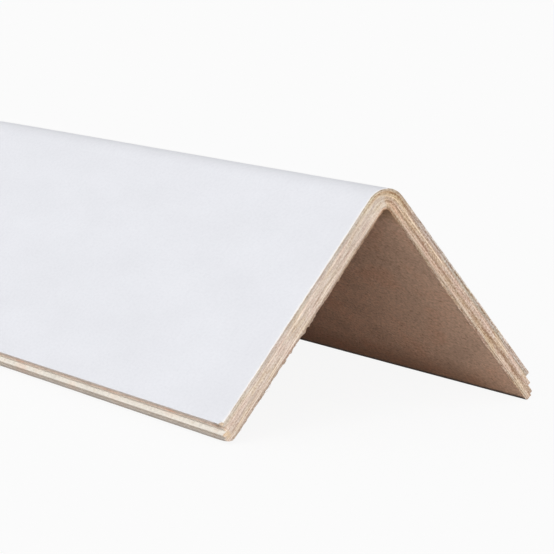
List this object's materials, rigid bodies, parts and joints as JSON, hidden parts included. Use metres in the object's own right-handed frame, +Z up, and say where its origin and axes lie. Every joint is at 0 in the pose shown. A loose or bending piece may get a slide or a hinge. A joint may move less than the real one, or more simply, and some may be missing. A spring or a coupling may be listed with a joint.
{
  "type": "pallet edge protector",
  "caption": "Laminated paperboard angle board in a V section, white outside and kraft brown inside, with stepped ply edges; guards the edges of a strapped load.",
  "frame": {"origin": "middle of the board's length, midway between the widest edges of the two legs, at the level of the feet it stands on", "axes": "+X across the two legs, +Y along the fold, +Z up from the feet to the fold"},
  "size_m": [0.0674, 0.3, 0.0412],
  "materials": {
    "white_faced_board": "matte white paper face on brown board",
    "brown_board": "matte brown board",
    "cream_board": "matte cream board",
    "kraft_board": "matte kraft board with a fibrous face"
  },
  "bodies": {
    "root": {"outer_ply": "white_faced_board", "second_ply": "brown_board", "third_ply": "cream_board", "inner_ply": "kraft_board"}
  },
  "joints": []
}
